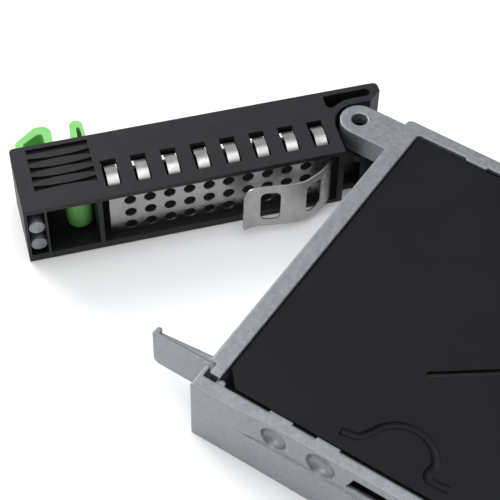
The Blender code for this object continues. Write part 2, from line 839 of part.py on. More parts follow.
def build_handle_housing(pivot):
    housing = plate("handle_housing", handle_outline(), HANDLE_BOTTOM, HANDLE_TOP)
    join(housing, plate("hinge_lug", lug_outline(), HANDLE_BOTTOM, LUG_TOP))
    cutters = [*handle_cavities(), *finger_slots()]
    for number in range(GROOVES):
        cutters.append(
            plate(
                f"groove_{number}",
                groove_outline(number),
                HANDLE_TOP - GROOVE_DEPTH,
                HANDLE_TOP + 1,
            )
        )
    cutters.append(plate("kidney_pocket", kidney_outline(), 3.0, HANDLE_TOP + 1))
    cutters.append(
        box("grille_window", (GRILLE_X[0], -21, GRILLE_Z[0]), (GRILLE_X[1], -17.5, GRILLE_Z[1]))
    )
    cutters.append(
        box(
            "latch_window",
            (LATCH_OPENING_X[0], -21, LATCH_OPENING_Z[0]),
            (LATCH_OPENING_X[1], -17.5, LATCH_OPENING_Z[1]),
        )
    )
    cutters += [
        rod(f"pipe_bore_{i}", (PIPE_X, -21, z), (PIPE_X, -17.5, z), PIPE_RADIUS + FIT, sides=16)
        for i, z in enumerate(PIPE_HEIGHTS)
    ]
    cutters.append(rod("pin_bore", (*HINGE, 0.4), (*HINGE, 12), HINGE_HOLE_RADIUS))
    cutters.append(box("leaf_notch", (-26.0, -4.0, HANDLE_BOTTOM + 0.9), (-18.5, 0, 3)))
    cutters.append(box("lug_pocket", (-35.2, -7.6, 1.6), (-27.4, -5.0, LUG_TOP - 1.4)))
    cut(housing, *cutters)
    finish(housing, "black_plastic", pivot)


def build_front_grille(pivot):
    """The bezel's vent insert: upright slats between a top and a bottom bar."""
    x0, x1 = GRILLE_X[0] + GAP, GRILLE_X[1] - GAP
    z0, z1 = GRILLE_Z[0] + GAP, GRILLE_Z[1] - GAP
    slots = []
    pitch = (x1 - x0 - GRILLE_BAR) / GRILLE_COLUMNS
    middle = (z0 + z1) / 2
    rows = ((z0 + GRILLE_BAR, middle - GRILLE_BELT), (middle + GRILLE_BELT, z1 - GRILLE_BAR))
    for i in range(GRILLE_COLUMNS):
        left = x0 + GRILLE_BAR + i * pitch
        right = left + pitch - GRILLE_BAR
        for low, high in rows:
            slots.append([(left, low), (right, low), (right, high), (left, high)])
    outline = [(x0, z0), (x1, z0), (x1, z1), (x0, z1)]
    grille = wall("front_grille", outline, HANDLE_FRONT + 0.2, HANDLE_FRONT + 1.1, slots)
    finish(grille, "black_plastic", pivot)


def build_shield(pivot):
    """The perforated steel shield across the vent bay."""
    holes = [
        circle((SHIELD_HOLE_X - column * SHIELD_HOLE_PITCH, z), SHIELD_HOLE_RADIUS, 12)
        for z in SHIELD_ROWS
        for column in range(SHIELD_COLUMNS)
    ]
    (x0, x1), (z0, z1) = SHIELD_X, SHIELD_Z
    outline = [(x0, z0), (x1, z0), (x1, z1), (x0, z1)]
    shield = wall("emi_shield", outline, SHIELD_Y - SHIELD_THICKNESS, SHIELD_Y, holes)
    finish(shield, "spring_steel", pivot)


def finger_profile():
    """One finger from the side, in Y and Z: it rises from the strip and arches to its free end."""
    rear, front = FINGER_SLOT_Y[1] - 0.45, FINGER_SLOT_Y[0] + 1.0
    half = (rear - front) / 2
    rise = FINGER_CREST - STRIP_THICKNESS / 2 - FINGER_SPRING_Z
    steps = 8
    arch = []
    for i in range(steps + 1):
        share = 2 * i / steps - 1
        arch.append((rear - half * (1 + share), FINGER_SPRING_Z + rise * (1 - share * share)))
    foot = [(rear + 0.9, FINGER_ROOT_Z), (rear + 0.35, FINGER_ROOT_Z + 0.1)]
    return [*foot, *arch]


def build_contact_fingers(pivot):
    """The earthing strip: one thin rail along the rear edge with eight arched fingers."""
    z0, z1 = FINGER_ROOT_Z - STRIP_THICKNESS / 2, FINGER_ROOT_Z + STRIP_THICKNESS / 2
    strip = box(
        "contact_finger_strip",
        (FINGER_SLOT_X - 7 * FINGER_PITCH - 4.0, FINGER_SLOT_Y[1] - 0.2, z0),
        (FINGER_SLOT_X + 0.6, FINGER_SLOT_Y[1] + 0.9, z1),
    )
    profile = ribbon(finger_profile(), STRIP_THICKNESS * 0.95)
    fingers = []
    for i in range(FINGERS):
        high = FINGER_SLOT_X - FINGER_INSET - i * FINGER_PITCH
        fingers.append(side_plate(f"finger_{i}", profile, high - FINGER_WIDTH, high))
    join(strip, *fingers)
    finish(strip, "spring_steel", pivot)


def build_leaf_spring(pivot):
    leaf = plate("leaf_spring", ribbon(LEAF_LINE, LEAF_THICKNESS), *LEAF_Z)
    windows = []
    for number, (x0, x1) in enumerate(LEAF_WINDOWS_X):
        outline = rounded((x0, LEAF_WINDOW_Z[0]), (x1, LEAF_WINDOW_Z[1]), 1.2, 4)
        windows.append(wall(f"leaf_window_{number}", outline, -5, 4))
    cut(leaf, *windows)
    finish(leaf, "spring_steel", pivot)


def build_light_pipes(pivot):
    for name, z in zip(("light_pipe_upper", "light_pipe_lower"), PIPE_HEIGHTS):
        rear, front = (PIPE_X, PIPE_FACE_Y, z), (PIPE_X, HANDLE_FRONT + 0.1, z)
        pipe = rod(name, rear, front, PIPE_RADIUS, sides=20)
        if name == "light_pipe_upper":
            start, end = PIPE_BRANCH_Y
            branch = rod(
                "pipe_branch",
                (PIPE_X, start, PIPE_BRANCH_Z),
                (PIPE_X, end, PIPE_BRANCH_Z),
                PIPE_BRANCH_RADIUS,
                sides=20,
            )
            join(pipe, branch)
        finish(pipe, "clear_plastic", pivot)


def build_latch(pivot):
    """The sliding release: a finger loop outside, a stem through the front wall and a tooth inside."""
    foot = HANDLE_FRONT - GAP
    outer = [
        (34.8, foot),
        *arc((33.3, -22.6), 1.4, 0, math.radians(-60), 5),
        *arc((29.7, PULL_FRONT + 2.0), 2.0, math.radians(-62), math.radians(-100), 4),
        *arc((29.2, PULL_FRONT + 2.0), 2.0, math.radians(-100), math.radians(-175), 7),
        (27.4, foot),
    ]
    hollow = [
        (33.3, foot - LOOP_BAR),
        (33.1, -22.7),
        (30.2, -24.5),
        (29.4, -24.6),
        (29.0, -24.2),
        (28.9, foot - LOOP_BAR),
    ]
    latch = plate("latch_slider", outer, *PULL_Z, [hollow])
    low, high = PULL_Z[0] + 0.3, PULL_Z[1] - 0.5
    stem = box("latch_stem", (STEM_X[0], HANDLE_FRONT - 1, low), (STEM_X[1], TOOTH_Y[0] + 0.1, high))
    tooth = [
        (STEM_X[0], TOOTH_Y[0] - 0.2),
        (STEM_X[1], TOOTH_Y[0]),
        (TOOTH_X, TOOTH_Y[0]),
        (TOOTH_X - 0.2, TOOTH_Y[0] + 0.5),
        (STEM_X[1], TOOTH_Y[1]),
        (STEM_X[0], TOOTH_Y[1]),
    ]
    join(latch, stem, plate("latch_tooth", tooth, low, high))
    finish(latch, "green_plastic", pivot)


def build_finger_rest(pivot):
    """The fixed green piece that the loop is squeezed towards, with its barrel inside the bay."""
    x, y = BARREL
    barrel = rod("finger_rest", (x, y, 1.5), (x, y, 13.6), BARREL_RADIUS)
    web = box("rest_web", (22.9, HANDLE_FRONT - 0.5, 4.6), (24.1, y, 11.6))
    tab = [
        (24.0, HANDLE_FRONT - GAP),
        (23.6, -23.6),
        *arc((22.1, PULL_FRONT + 1.35), 1.35, math.radians(-10), math.radians(-170), 8),
        (20.75, -21.6),
        (21.35, -21.6),
        (21.5, -24.4),
        (21.9, -24.7),
        (22.2, -24.4),
        (22.5, HANDLE_FRONT - GAP),
    ]
    join(barrel, web, plate("rest_tab", tab, *PULL_Z))
    finish(barrel, "green_plastic", pivot)


def build_latch_spring(pivot):
    radius, steps = LATCH_SPRING_RADIUS, 12
    x0, x1 = LATCH_SPRING_X
    count = LATCH_SPRING_TURNS * steps
    points = []
    for i in range(count + 1):
        angle = 2 * math.pi * i / steps
        x = x0 + (x1 - x0) * i / count
        y = LATCH_SPRING_Y + radius * math.cos(angle)
        points.append((x, y, LATCH_SPRING_Z + radius * math.sin(angle)))
    finish(wire("latch_spring", points, LATCH_SPRING_WIRE, 1), "spring_steel", pivot)


# ---------------------------------------------------------------- drive case


def cavity_outline():
    """The disk chamber and the actuator bay behind it."""
    reach = math.acos(BAY_HALF_WIDTH / CAVITY_RADIUS)
    chamber = arc(SPINDLE, CAVITY_RADIUS, reach, -math.pi - reach, 40)
    return [*chamber, (-BAY_HALF_WIDTH, BAY_REAR), (BAY_HALF_WIDTH, BAY_REAR)]


def build_drive_base():
    half = DRIVE_HALF_WIDTH
    base = box("drive_base", (-half, DRIVE_FRONT, BASE_Z[0]), (half, DRIVE_REAR, BASE_Z[1]))
    chamber = plate("disk_chamber", cavity_outline(), 0, CAVITY_TOP)
    board_bay = box(
        "board_bay",
        (-BOARD_HALF_WIDTH - 0.4, BOARD_FRONT - 0.4, BOARD_POCKET_Z),
        (BOARD_HALF_WIDTH + 0.4, DRIVE_REAR + 1, 20),
    )
    plug_bay = box("plug_bay", (-22.4, 99.2, 7.6), (22.4, DRIVE_REAR + 1, BOARD_POCKET_Z + 1))
    holes = [
        rod(
            f"side_thread_{side}_{number}",
            (side * 36, y, SIDE_SCREW_Z),
            (side * THREAD_END, y, SIDE_SCREW_Z),
            SIDE_PIN_RADIUS + FIT,
            sides=16,
        )
        for side in (-1, 1)
        for number, y in enumerate(SIDE_SCREW_Y)
    ]
    cut(base, chamber, board_bay, plug_bay, *holes)
    finish(base, "black_coat")


def build_cover():
    """The lid under the disks, with its label recess and countersunk screw holes."""
    low, high = (-COVER_HALF_WIDTH, DRIVE_FRONT + 0.6), (COVER_HALF_WIDTH, COVER_REAR)
    cover = plate("drive_cover", rounded(low, high, 3.0, 5), *COVER_Z)
    holes = [
        rod(f"cover_hole_{i}", (x, y, 0), (x, y, COVER_Z[0] + 0.5), COVER_SINK_RADIUS, sides=16)
        for i, (x, y) in enumerate(COVER_SCREWS)
    ]
    bores = [
        rod(f"cover_bore_{i}", (x, y, 0), (x, y, 2), COVER_BORE_RADIUS, sides=12)
        for i, (x, y) in enumerate(COVER_SCREWS)
    ]
    cut(cover, *holes, *bores)
    finish(cover, "aluminium")


def build_cover_screws():
    for i, (x, y) in enumerate(COVER_SCREWS):
        head = rod(f"cover_screw_{i + 1}", (x, y, 0.35), (x, y, 0.9), COVER_HEAD_RADIUS, sides=16)
        shank = rod(f"cover_shank_{i}", (x, y, 0.7), (x, y, 1.8), COVER_SHANK_RADIUS, sides=12)
        socket = rod(f"cover_socket_{i}", (x, y, 0.1), (x, y, 0.7), COVER_SOCKET_RADIUS, sides=6)
        cut(join(head, shank), socket)
        finish(head, "screw_steel")


def build_gasket():
    """The seal round the chamber, inside the line of screws."""
    low, high = (Vector(corner) for corner in GASKET_CORNERS)
    inset = Vector((GASKET_WIDTH, GASKET_WIDTH))
    outer = rounded(low, high, GASKET_CORNER_RADIUS, 5)
    inner = rounded(low + inset, high - inset, GASKET_CORNER_RADIUS - GASKET_WIDTH, 5)
    finish(plate("cover_gasket", outer, *GASKET_Z, [inner]), "rubber")


def build_label():
    label = plate("blank_label", rounded(*LABEL_CORNERS, 1.5, 3), *LABEL_Z)
    finish(label, "label_film")


def omega_groove():
    """The shallow channel that rings a boss at the sheet's near edge, with both its feet."""
    near_foot = [(31.2, 24.4), (30.9, 26.6), (30.2, 27.9)]
    bend = arc(OMEGA_CENTRE, OMEGA_RADIUS, math.radians(250), math.radians(108), 20)
    far_foot = [(29.9, 40.8), (31.1, 41.3), (31.3, 42.6), (31.0, 45.2)]
    outline = ribbon(near_foot + bend + far_foot, OMEGA_WIDTH)
    return plate("omega_groove", outline, SHEET_Z[1] - SHEET_GROOVE_DEPTH, SHEET_Z[1] + 1)


def straight_slot():
    """The slot with round ends that runs across the middle of the sheet."""
    (start, end), half = SLOT_ENDS, SLOT_WIDTH / 2
    along = math.atan2(end[1] - start[1], end[0] - start[0])
    quarter = math.pi / 2
    outline = arc(start, half, along + quarter, along + 3 * quarter, 6)
    outline += arc(end, half, along - quarter, along + quarter, 6)
    return plate("straight_slot", outline, SHEET_Z[0] - 1, SHEET_Z[1] + 1)


def build_sheet():
    """The black insulating sheet over the board side, flush inside the frame."""
    half = SHEET_HALF_WIDTH
    outline = [
        (half, SHEET_FRONT + 2.9),
        (half, SHEET_REAR),
        (-half, SHEET_REAR),
        (-half, SHEET_FRONT),
        (half - 3.2, SHEET_FRONT),
    ]
    sheet = plate("insulator_sheet", outline, *SHEET_Z)
    cut(sheet, omega_groove(), straight_slot())
    finish(sheet, "black_sheet")


# ---------------------------------------------------------------- disks


def ring(name, centre, inner, outer, low, high, steps=48):
    return plate(name, circle(centre, outer, steps), low, high, [circle(centre, inner, steps)])


def build_spindle(pivot):
    hub = ring("spindle_hub", SPINDLE, HUB_BORE, HUB_RADIUS, *HUB_Z)
    lid = ring("hub_lid", SPINDLE, SHAFT_BORE, HUB_RADIUS - 0.5, HUB_Z[0] - 0.3, HUB_Z[0] + 0.5)
    flange = ring("hub_flange", SPINDLE, HUB_BORE + 0.6, FLANGE_RADIUS, *FLANGE_Z)
    finish(join(hub, lid, flange), "aluminium", pivot)
    for number, low in enumerate(PLATTER_Z):
        platter = ring(
            f"platter_{number + 1}",
            SPINDLE,
            PLATTER_BORE,
            PLATTER_RADIUS,
            low,
            low + PLATTER_THICKNESS,
            64,
        )
        finish(platter, "disk_coating", pivot)
    spacer_low = PLATTER_Z[1] + PLATTER_THICKNESS + FIT
    spacer = ring("disk_spacer", SPINDLE, PLATTER_BORE, STACK_RADIUS, spacer_low, PLATTER_Z[0] - FIT)
    finish(spacer, "aluminium", pivot)
    clamp = ring("disk_clamp", SPINDLE, SHAFT_BORE, STACK_RADIUS, *CLAMP_Z)
    rim = ring("clamp_rim", SPINDLE, PLATTER_BORE + 0.1, STACK_RADIUS, CLAMP_Z[1] - 0.3, PLATTER_Z[1] - FIT)
    finish(join(clamp, rim), "aluminium", pivot)
    low, high = CLAMP_SCREW_Z
    for number, (x, y) in enumerate(circle(SPINDLE, CLAMP_SCREW_CIRCLE, 3)):
        screw = rod(f"clamp_screw_{number + 1}", (x, y, low), (x, y, high), CLAMP_SCREW_RADIUS, sides=12)
        finish(screw, "screw_steel", pivot)


def build_motor():
    x, y = SPINDLE
    shaft = rod("spindle_shaft", (x, y, 3.2), (x, y, CAVITY_TOP - 0.1), SHAFT_RADIUS)
    finish(shaft, "screw_steel")
    stator = ring("motor_stator", SPINDLE, SHAFT_BORE, 5.0, 5.6, CAVITY_TOP - 0.1, 18)
    poles = []
    for i in range(STATOR_POLES):
        angle = 2 * math.pi * i / STATOR_POLES
        c, s = math.cos(angle), math.sin(angle)
        outline = [(x + far * c - side * s, y + far * s + side * c) for far, side in STATOR_POLE]
        poles.append(plate(f"stator_pole_{i}", outline, 6.4, 9.8))
    finish(join(stator, *poles), "copper")


# ---------------------------------------------------------------- actuator


def along_arm(start, start_width, end, end_width):
    """The outline of a bar that tapers along the parked arm, between two distances from the pivot."""
    c, s = math.cos(ARM_PARKED), math.sin(ARM_PARKED)
    corners = (
        (start, -start_width / 2),
        (end, -end_width / 2),
        (end, end_width / 2),
        (start, start_width / 2),
    )
    return [(PIVOT[0] + far * c - side * s, PIVOT[1] + far * s + side * c) for far, side in corners]


def across_coil(inner, outer, half_angle, steps):
    """A sector centred on the line behind the parked arm."""
    behind = ARM_PARKED + math.pi
    return sector(PIVOT, inner, outer, behind - half_angle, behind + half_angle, steps)


def build_actuator(pivot):
    """The arm comb on its barrel, with its heads on one side and its coil on the other."""
    barrel = ring("actuator_arm", PIVOT, ARM_BORE, BARREL_OUTER, 3.9, 10.6, 28)
    arms = [
        plate(f"comb_arm_{number}", along_arm(3.4, 6.0, ARM_LENGTH, 2.6), low, high)
        for number, (low, high) in enumerate(ARM_LEVELS)
    ]
    fork = plate("coil_fork", across_coil(3.6, 6.4, math.radians(40), 6), *COIL_Z)
    finish(join(barrel, *arms, fork), "aluminium", pivot)
    for number, low in enumerate(HEAD_LEVELS):
        outline = along_arm(ARM_LENGTH + GAP, 2.4, HEAD_REACH, 1.0)
        head = plate(f"head_suspension_{number + 1}", outline, low, low + HEAD_THICKNESS)
        finish(head, "spring_steel", pivot)
    outer = across_coil(6.7, 14.4, math.radians(22), 8)
    inner = across_coil(9.0, 12.8, math.radians(12), 6)
    finish(plate("voice_coil", outer, *COIL_Z, [inner]), "copper", pivot)


def build_actuator_mounts():
    """The pivot's bearing, and the magnets on their yokes above and below the coil."""
    bearing = rod("pivot_bearing", (*PIVOT, 3.4), (*PIVOT, CAVITY_TOP - 0.1), 2.5)
    finish(bearing, "screw_steel")
    start, end = YOKE_ANGLES
    for name, low, high in YOKE_LEVELS:
        finish(plate(name, sector(PIVOT, YOKE_INNER, YOKE_OUTER, start, end), low, high), "magnet_plate")
    for name, low, high in MAGNET_LEVELS:
        outline = sector(
            PIVOT,
            YOKE_INNER + MAGNET_INSET,
            YOKE_OUTER - MAGNET_INSET,
            start + MAGNET_INSET_ANGLE,
            end - MAGNET_INSET_ANGLE,
        )
        finish(plate(name, outline, low, high), "magnet_plate")


def build_ramp():
    """The parking ramp just outside the disks' edge, under the parked heads."""
    outline = along_arm(HEAD_REACH + 0.4, 4.8, HEAD_REACH + 3.2, 4.8)
    finish(plate("parking_ramp", outline, 3.6, CAVITY_TOP - 0.1), "white_plastic")


def build_flex_cable():
    """The ribbon that loops from the rear bracket towards the actuator."""
    finish(plate("flex_cable", ribbon(FLEX_LINE, FLEX_THICKNESS), *FLEX_Z), "amber_film")
    finish(box("flex_bracket", *FLEX_BRACKET), "white_plastic")


def build_filter():
    finish(box("breather_filter", *FILTER), "white_plastic")


# ---------------------------------------------------------------- electronics


def build_board():
    low, high = (-BOARD_HALF_WIDTH, BOARD_FRONT), (BOARD_HALF_WIDTH, BOARD_REAR)
    holes = [circle(place, 1.2, 12) for place in BOARD_SCREWS]
    board = plate("circuit_board", rounded(low, high, 1.0, 2), *BOARD_Z, holes)
    finish(board, "board_green")
    for i, (x, y) in enumerate(BOARD_SCREWS):
        screw = rod(f"board_screw_{i + 1}", (x, y, BOARD_Z[1] + 0.1), (x, y, 14.25), 1.9, sides=12)
        shank = rod(f"board_shank_{i}", (x, y, 12.3), (x, y, BOARD_Z[1] + 0.2), 0.95, sides=12)
        finish(join(screw, shank), "screw_steel")
    high = BOARD_Z[0] - 0.1
    for name, near, far in CHIPS:
        finish(box(name, (*near, high - CHIP_HEIGHT), (*far, high)), "chip_black")


def build_plug():
    """The combined signal and power plug at the rear edge of the board."""
    body = cut(box("sas_plug", *PLUG_BODY), box("plug_mouth", *PLUG_MOUTH))
    finish(join(body, box("plug_tongue", *PLUG_TONGUE)), "chip_black")


# ---------------------------------------------------------------- assembly


def main():
    clear_scene()
    make_collection("hot_swap_hard_disk_drive")
    make_collection("cutters")
    make_materials()
    handle = make_pivot("handle_pivot", HINGE, OPEN_ANGLE)
    spindle = make_pivot("spindle_axis", SPINDLE)
    actuator = make_pivot("actuator_axis", PIVOT)

    build_carrier_frame()
    build_side_pins()
    build_hinge_pin()

    build_handle_housing(handle)
    build_front_grille(handle)
    build_shield(handle)
    build_contact_fingers(handle)
    build_leaf_spring(handle)
    build_light_pipes(handle)
    build_latch(handle)
    build_finger_rest(handle)
    build_latch_spring(handle)

    build_drive_base()
    build_cover()
    build_cover_screws()
    build_gasket()
    build_label()
    build_sheet()

    build_spindle(spindle)
    build_motor()
    build_actuator(actuator)
    build_actuator_mounts()
    build_ramp()
    build_flex_cable()
    build_filter()
    build_board()
    build_plug()


main()
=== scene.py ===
"""The looks of the hot-swap hard disk drive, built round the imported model.

Lengths are in millimetres until they are scaled. Pieces of the handle are drawn as they lie with the
handle closed, and turned about the hinge to the open position that the model rests in.
"""

import json
import math

import bmesh
import bpy
from mathutils import Matrix, Vector


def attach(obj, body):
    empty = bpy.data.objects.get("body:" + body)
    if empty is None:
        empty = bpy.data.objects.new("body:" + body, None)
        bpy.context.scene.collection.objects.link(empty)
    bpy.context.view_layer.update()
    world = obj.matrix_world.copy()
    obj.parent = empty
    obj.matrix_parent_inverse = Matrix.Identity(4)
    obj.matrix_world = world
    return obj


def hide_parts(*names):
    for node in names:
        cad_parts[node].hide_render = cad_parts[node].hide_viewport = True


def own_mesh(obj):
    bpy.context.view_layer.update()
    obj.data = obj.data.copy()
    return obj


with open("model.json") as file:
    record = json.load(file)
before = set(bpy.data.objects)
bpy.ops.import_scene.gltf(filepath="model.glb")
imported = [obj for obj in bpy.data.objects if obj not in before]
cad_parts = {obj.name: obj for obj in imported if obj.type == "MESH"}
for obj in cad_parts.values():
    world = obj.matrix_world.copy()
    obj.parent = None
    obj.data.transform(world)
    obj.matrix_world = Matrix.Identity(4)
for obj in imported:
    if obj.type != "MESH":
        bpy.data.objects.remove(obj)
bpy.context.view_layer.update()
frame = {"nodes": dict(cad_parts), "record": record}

MM = 0.001
RECORD = frame["record"]
SLOT_OF = {part["node"]: part["material_slot"] for part in RECORD["subparts"]}

# Camera: the angles look down from behind the latch side
CAMERA_PLACE = (156.34, 85.06, 236.38)
CAMERA_AZIMUTH = math.radians(122.458)
CAMERA_ELEVATION = math.radians(51.419)
CAMERA_ROLL = math.radians(1.385)
CAMERA_LENS = 110.7
CAMERA_SENSOR = 36.0

# Brightness of the room before and behind the object
ROOM_FRONT = 0.85
ROOM_REAR = 0.2

# How the steel's brush lines stretch the grain along X, Y and Z
BRUSHING = (3.0, 0.15, 0.15)

# Faces that meet at less than this many degrees are shaded as one
SMOOTH_ANGLE = 35

# Handle
HINGE = (-32.09, -9.865)
OPEN_ANGLE = math.radians(-41.44)

# Leaf spring: the middle of its steel strip, from the anchor to the tip, with the handle closed
LEAF_LINE = (
    (-25.4, -4.35),
    (-24.2, -2.9),
    (-22.0, -1.05),
    (-19.7, 0.25),
    (-17.6, 1.05),
    (-15.0, 1.1),
    (-12.0, 0.75),
    (-8.8, 0.35),
    (-7.0, 0.45),
    (-5.6, 0.85),
)
LEAF_THICKNESS = 0.3
LEAF_Z = (1.4, 12.9)
LEAF_CORNERS = (2.3, 0.3, 0.3, 0.8)
LEAF_WINDOWS = ((5.0, 9.0), (14.2, 18.2))
LEAF_WINDOW_Z = (3.3, 11.1)
LEAF_WINDOW_CORNER = 1.3
LEAF_STEP = 0.45

# Earthing fingers
FINGERS = 8
FINGER_PITCH = 5.92
FINGER_RIGHT = 19.3
FINGER_WIDTH = 2.25
FINGER_REAR = -5.85
FINGER_FRONT = -11.07
FINGER_CREST = 15.3
FINGER_SPRING_Z = 14.2
FINGER_ROOT_Z = 13.45
FINGER_FOOT = ((0.9, 0.0), (0.35, 0.1))
FINGER_CORNERS = (0.35, 0.1, 0.1, 0.35)
FINGER_STEP = 0.4
STRIP_THICKNESS = 0.3
STRIP_X = (-25.64, 20.4)
STRIP_Y = (-5.6, -4.5)
STRIP_CORNER = 0.2

# Latch's return coil
COIL_X = (24.35, 28.4)
COIL_AXIS = (-16.0, 8.2)
COIL_RADIUS = 1.3
COIL_WIRE = 0.18
COIL_TURNS = 4
COIL_STEPS = 24

# Shield
SHIELD_Y = -4.97
SHIELD_X = (-24.6, 19.6)
SHIELD_Z = (1.5, 12.9)
SHIELD_THICKNESS = 0.3
SHIELD_HOLE_X = 15.5
SHIELD_HOLE_PITCH = 3.93
SHIELD_COLUMNS = 10
SHIELD_ROWS = (10.2, 6.65, 3.1)
SHIELD_HOLE_RADIUS = 1.18
SHIELD_EDGE = 0.05

# Insulating sheet, with its ring channel and its slot
SHEET_Z = (14.45, 15.05)
SHEET_HALF_WIDTH = 34.2
SHEET_Y = (2.2, 101.0)
SHEET_CHAMFER = (3.2, 2.9)
CHANNEL_CENTRE = (30.4, 35.1)
CHANNEL_RADIUS = 6.3
CHANNEL_ANGLES = (math.radians(250), math.radians(108))
CHANNEL_NEAR_FOOT = ((31.2, 24.4), (30.9, 26.6), (30.2, 27.9))
CHANNEL_FAR_FOOT = ((29.9, 40.8), (31.1, 41.3), (31.3, 42.6), (31.0, 45.2))
CHANNEL_WIDTH = 1.7
CHANNEL_DEPTH = 0.5
SLOT_ENDS = ((12.8, 31.3), (0.6, 47.7))
SLOT_WIDTH = 1.15
SHEET_EDGE = 0.09

# Edge radii of the model's own pieces that stay in view
EDGES = {
    "carrier_frame": 0.14,
    "handle_housing": 0.16,
    "front_grille": 0.12,
    "latch_slider": 0.35,
    "finger_rest": 0.35,
    "light_pipe_upper": 0.3,
    "light_pipe_lower": 0.3,
    "drive_base": 0.3,
    "drive_cover": 0.15,
    "sas_plug": 0.15,
    "circuit_board": 0.05,
    "hinge_pin": 0.15,
    "spindle_hub": 0.1,
    "actuator_arm": 0.12,
}

# Studio, in metres, and each light's place, side and watts
FLOOR_HALF_SIDE = 3.0
LIGHTS = (
    ("front_key", (-0.2, -0.85, 0.6), 0.5, 5.0),
    ("latch_side", (0.9, -0.3, 0.6), 0.25, 1.8),
    ("overhead", (0.0, 0.0, 1.1), 0.8, 5.0),
)
LIGHTS_TARGET = (0.0, 0.02, 0.0)


# ---------------------------------------------------------------- materials


def new_material(name, colour, roughness, metallic=0.0):
    """A Principled material, with its node tree and its shader."""
    material = bpy.data.materials.new(name)
    material.use_nodes = True
    shader = material.node_tree.nodes["Principled BSDF"]
    shader.inputs["Base Color"].default_value = (*colour, 1.0)
    shader.inputs["Roughness"].default_value = roughness
    shader.inputs["Metallic"].default_value = metallic
    return material, material.node_tree, shader


def noise(tree, scale, detail=3.0, stretch=(1.0, 1.0, 1.0)):
    """Noise in the piece's own coordinates, its scale in patches per millimetre."""
    place = tree.nodes.new("ShaderNodeTexCoord")
    mapping = tree.nodes.new("ShaderNodeMapping")
    mapping.inputs["Scale"].default_value = [scale / MM * s for s in stretch]
    texture = tree.nodes.new("ShaderNodeTexNoise")
    texture.inputs["Scale"].default_value = 1.0
    texture.inputs["Detail"].default_value = detail
    tree.links.new(place.outputs["Object"], mapping.inputs["Vector"])
    tree.links.new(mapping.outputs["Vector"], texture.inputs["Vector"])
    return texture.outputs["Fac"]


def between(tree, source, low, high, start=0.35, end=0.65):
    """A value that runs from low to high as the source runs from start to end."""
    spread = tree.nodes.new("ShaderNodeMapRange")
    spread.inputs["From Min"].default_value = start
    spread.inputs["From Max"].default_value = end
    spread.inputs["To Min"].default_value = low
    spread.inputs["To Max"].default_value = high
    tree.links.new(source, spread.inputs["Value"])
    return spread.outputs["Result"]


def vary_colour(tree, shader, source, low, high, start=0.35, end=0.65):
    """Drives the base colour between two colours."""
    mix = tree.nodes.new("ShaderNodeMix")
    mix.data_type = "RGBA"
    mix.inputs["A"].default_value = (*low, 1.0)
    mix.inputs["B"].default_value = (*high, 1.0)
    tree.links.new(between(tree, source, 0.0, 1.0, start, end), mix.inputs["Factor"])
    tree.links.new(mix.outputs["Result"], shader.inputs["Base Color"])


def vary_roughness(tree, shader, source, low, high):
    """Drives the roughness between two values."""
    tree.links.new(between(tree, source, low, high), shader.inputs["Roughness"])


def add_bump(tree, shader, source, depth):
    """Raises the surface by a depth in millimetres, on top of any bump that is already there."""
    bump = tree.nodes.new("ShaderNodeBump")
    bump.inputs["Strength"].default_value = 1.0
    bump.inputs["Distance"].default_value = depth * MM
    socket = shader.inputs["Normal"]
    if socket.links:
        tree.links.new(socket.links[0].from_socket, bump.inputs["Normal"])
    tree.links.new(source, bump.inputs["Height"])
    tree.links.new(bump.outputs["Normal"], socket)


def round_edges(tree, shader, radius):
    """Shades the edges as if they had a radius, in millimetres."""
    edges = tree.nodes.new("ShaderNodeBevel")
    edges.samples = 8
    edges.inputs["Radius"].default_value = radius * MM
    tree.links.new(edges.outputs["Normal"], shader.inputs["Normal"])


def cast_metal():
    """Zinc die casting: a satin skin with a fine pebble, cloudy patches and faint flow marks."""
    material, tree, shader = new_material("cast_metal", (0.3, 0.32, 0.34), 0.4, 0.65)
    round_edges(tree, shader, 0.6)
    mottle = noise(tree, 1.2, 8.0)
    vary_colour(tree, shader, mottle, (0.24, 0.256, 0.28), (0.315, 0.33, 0.347), 0.3, 0.7)
    vary_roughness(tree, shader, noise(tree, 1.2, 6.0), 0.34, 0.46)
    add_bump(tree, shader, noise(tree, 3.0, 5.0), 0.045)
    add_bump(tree, shader, noise(tree, 0.6, 2.0), 0.03)
    return material


def black_plastic():
    """Glass-filled black moulding with a fine spark-eroded grain."""
    material, tree, shader = new_material("black_plastic", (0.016, 0.016, 0.019), 0.5)
    shader.inputs["Specular IOR Level"].default_value = 0.3
    vary_colour(tree, shader, noise(tree, 0.3), (0.009, 0.009, 0.0112), (0.0125, 0.0125, 0.015))
    vary_roughness(tree, shader, noise(tree, 1.0), 0.45, 0.55)
    add_bump(tree, shader, noise(tree, 6.0, 2.0), 0.008)
    return material


def black_sheet():
    """Matt insulating film, with very faint clouds and a very faint orange peel."""
    material, tree, shader = new_material("black_sheet", (0.006, 0.0065, 0.008), 0.5)
    shader.inputs["Specular IOR Level"].default_value = 0.16
    vary_colour(tree, shader, noise(tree, 0.06, 4.0), (0.005, 0.0055, 0.007), (0.0065, 0.007, 0.0085))
    vary_roughness(tree, shader, noise(tree, 0.1, 5.0), 0.45, 0.56)
    add_bump(tree, shader, noise(tree, 4.0, 2.0), 0.004)
    return material


def black_coat():
    """The drive casting's black dip coat, glossier than the plastics. Its black is partly painted shade:
    it darkens the gaps beside the sheet and the rail, and the pin sunk in its bore.
    """
    material, tree, shader = new_material("black_coat", (0.012, 0.012, 0.013), 0.35)
    vary_roughness(tree, shader, noise(tree, 0.5), 0.3, 0.42)
    add_bump(tree, shader, noise(tree, 2.5, 4.0), 0.02)
    return material


